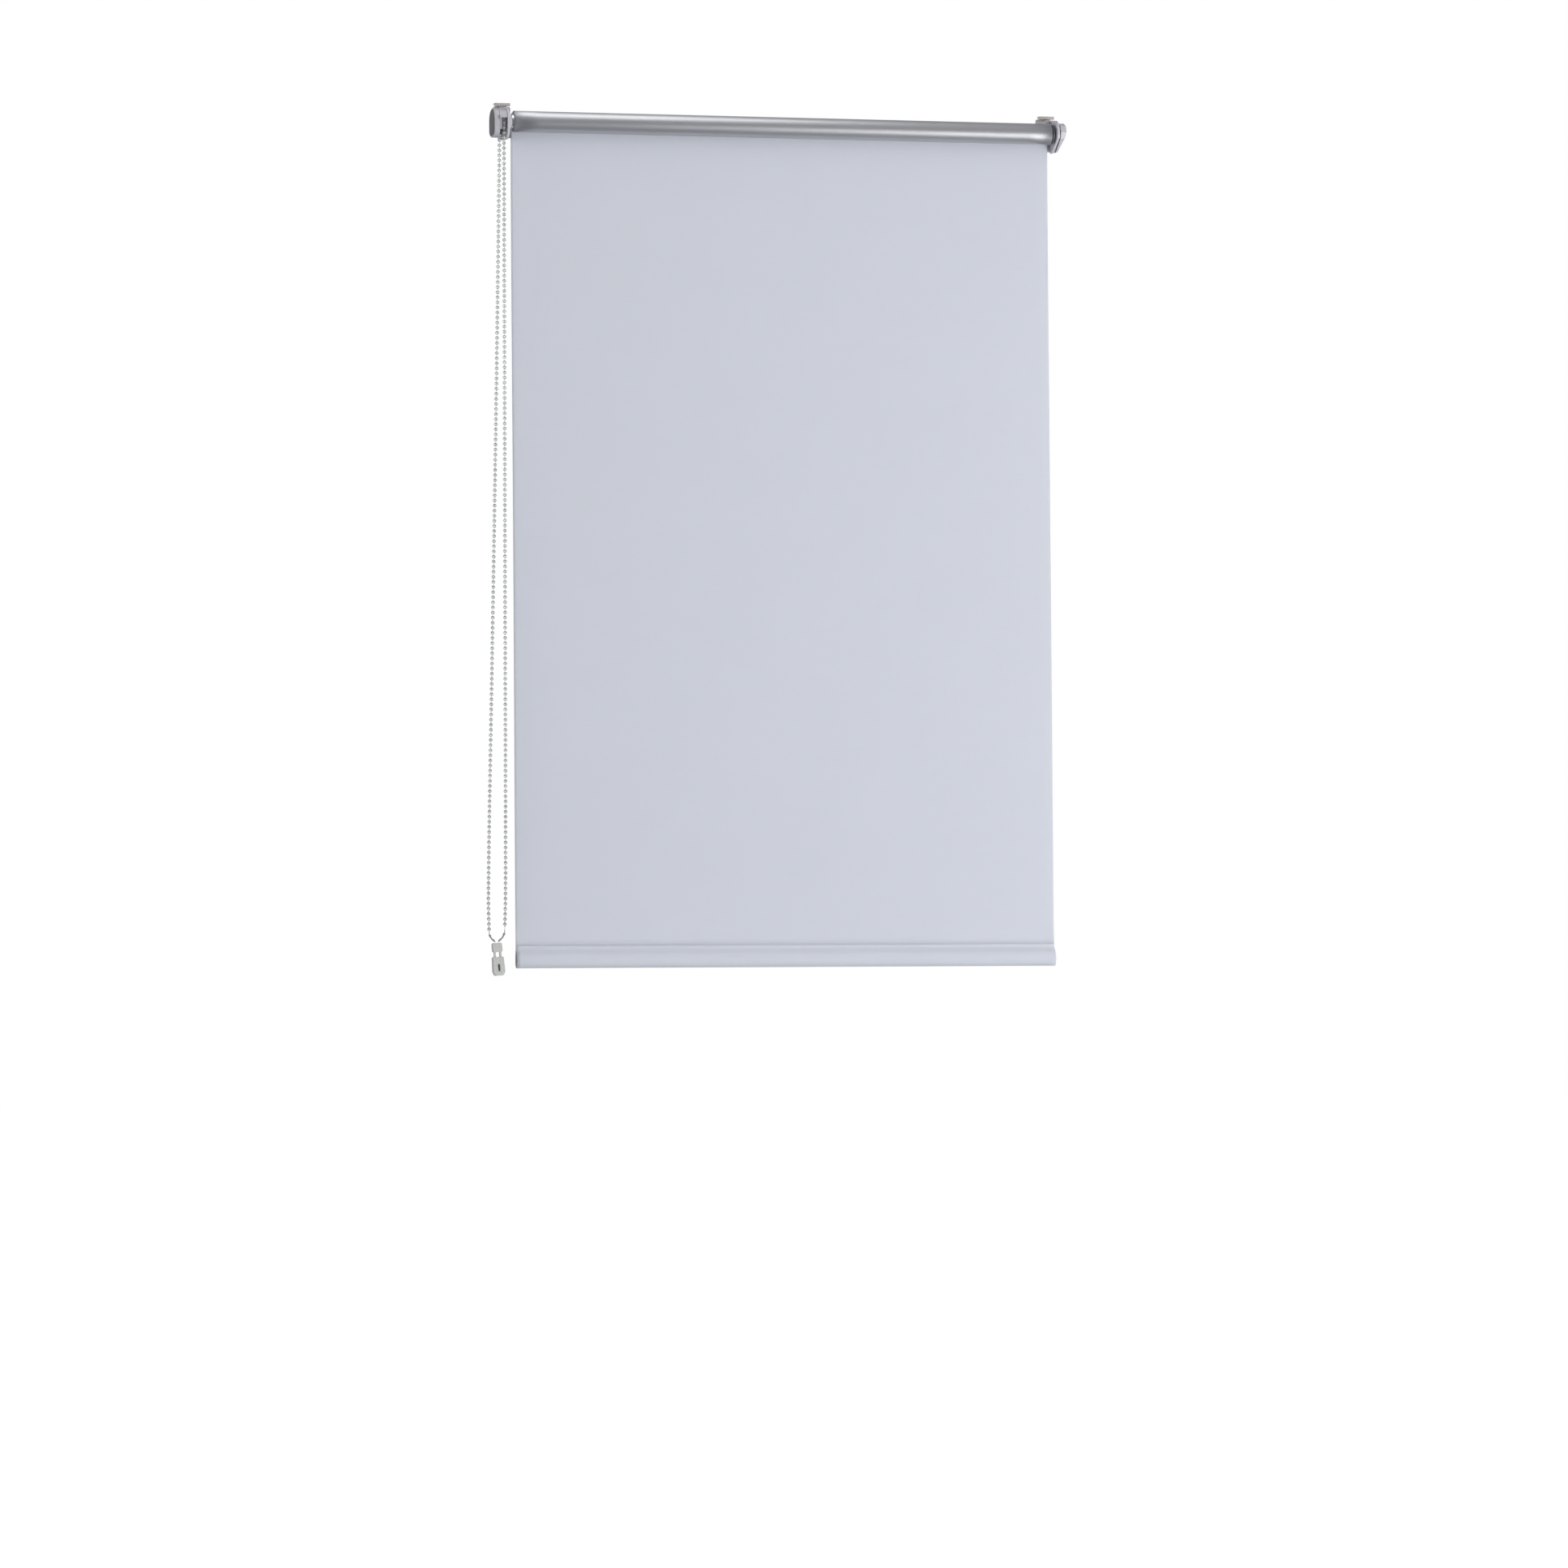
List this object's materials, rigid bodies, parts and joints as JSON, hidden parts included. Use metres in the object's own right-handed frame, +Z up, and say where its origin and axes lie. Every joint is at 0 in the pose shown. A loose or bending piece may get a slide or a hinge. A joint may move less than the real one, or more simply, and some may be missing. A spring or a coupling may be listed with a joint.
{
  "type": "roller blind",
  "caption": "Clamp-on roller blind: cloth wound on a tube between two clip-over brackets, with a bead-chain drive, a chain holder and a weighted hem bar.",
  "frame": {"origin": "midway between the two clamps, where the room face of the window sash meets its top edge", "axes": "+Z up, +Y towards the window, +X to the right as seen from the room"},
  "size_m": [0.7135, 0.0747, 1.0297],
  "materials": {
    "pale_plastic": "fine moulded satin, pale grey-lilac",
    "grey_plastic": "moulded, mid gloss, dark grey",
    "clear_plastic": "smoky translucent moulding",
    "bead_plastic": "white, slightly translucent beads",
    "rubber": "soft pad",
    "coated_steel": "warm white powder coat on bent strip",
    "zinc_steel": "zinc plated",
    "tube_metal": "drawn tube, satin",
    "spring_steel": "drawn wire",
    "silver_backing": "aluminised heat-reflecting side of the cloth",
    "cloth_front": "plain woven polyester, pale blue-grey"
  },
  "bodies": {
    "root": {"left_carrier": "pale_plastic", "left_front_pad": "rubber", "left_upper_fixing_screw": "zinc_steel", "left_lower_fixing_screw": "zinc_steel", "left_bracket": "pale_plastic", "right_carrier": "pale_plastic", "right_front_pad": "rubber", "right_upper_fixing_screw": "zinc_steel", "right_lower_fixing_screw": "zinc_steel", "right_bracket": "pale_plastic", "drive_housing": "pale_plastic", "drive_cover": "pale_plastic", "drive_end_cap": "grey_plastic", "clutch_core": "grey_plastic", "core_screw": "zinc_steel", "right_cover": "pale_plastic", "chain_wrap": "bead_plastic", "fabric_panel": "cloth_front", "chain_front_run": "bead_plastic", "chain_rear_run": "bead_plastic", "front_chain_connector": "clear_plastic", "rear_chain_connector": "clear_plastic", "chain_holder_slider": "clear_plastic"},
    "roller": {"tube": "tube_metal", "fabric_roll": "silver_backing", "sprocket": "pale_plastic", "clutch_spring": "spring_steel", "drive_adapter": "grey_plastic", "idle_plug": "grey_plastic", "idle_spring": "spring_steel"},
    "idle_pin": {"idle_pin": "bead_plastic"},
    "hem": {"hem_pocket": "cloth_front", "hem_bar": "tube_metal", "left_hem_cap": "grey_plastic", "right_hem_cap": "grey_plastic"},
    "chain_holder": {"chain_holder_body": "clear_plastic"},
    "left_hook": {"left_hook": "coated_steel", "left_clamp_nut": "zinc_steel", "left_rear_pad": "rubber"},
    "left_clamp_screw": {"left_clamp_screw": "zinc_steel"},
    "right_hook": {"right_hook": "coated_steel", "right_clamp_nut": "zinc_steel", "right_rear_pad": "rubber"},
    "right_clamp_screw": {"right_clamp_screw": "zinc_steel"}
  },
  "joints": [
    {"name": "hem_travel", "type": "slide", "parent": "root", "child": "hem", "axis": [0, 0, 1], "range_m": [-0.553, 0.935], "deforming": ["fabric_panel"]},
    {"name": "roller_turn", "type": "hinge", "parent": "root", "child": "roller", "pos_m": [0, -0.037, -0.022], "axis": [1, 0, 0], "range_deg": [-2540, 4300]},
    {"name": "idle_pin_press", "type": "slide", "parent": "roller", "child": "idle_pin", "axis": [-1, 0, 0], "range_m": [0, 0.0045], "stiffness_N_per_m": 400, "deforming": ["idle_spring"]},
    {"name": "chain_holder_slide", "type": "slide", "parent": "root", "child": "chain_holder", "axis": [0.0698, 0, -0.9976], "range_m": [-0.0025, 0.003]},
    {"name": "left_hook_slide", "type": "slide", "parent": "root", "child": "left_hook", "axis": [0, -1, 0], "range_m": [-0.002, 0.0035]},
    {"name": "left_clamp_screw_turn", "type": "hinge", "parent": "root", "child": "left_clamp_screw", "pos_m": [-0.335, -0.017, -0.0065], "axis": [0, 1, 0], "range_deg": [-1040, 1810]},
    {"name": "right_hook_slide", "type": "slide", "parent": "root", "child": "right_hook", "axis": [0, -1, 0], "range_m": [-0.002, 0.0035]},
    {"name": "right_clamp_screw_turn", "type": "hinge", "parent": "root", "child": "right_clamp_screw", "pos_m": [0.335, -0.017, -0.0065], "axis": [0, 1, 0], "range_deg": [-1040, 1810]}
  ],
  "couplings": [
    {"joint": "roller_turn", "follows": "hem_travel", "rad_per_m": 80},
    {"joint": "left_clamp_screw_turn", "follows": "left_hook_slide", "rad_per_m": 8976},
    {"joint": "right_clamp_screw_turn", "follows": "right_hook_slide", "rad_per_m": 8976}
  ]
}
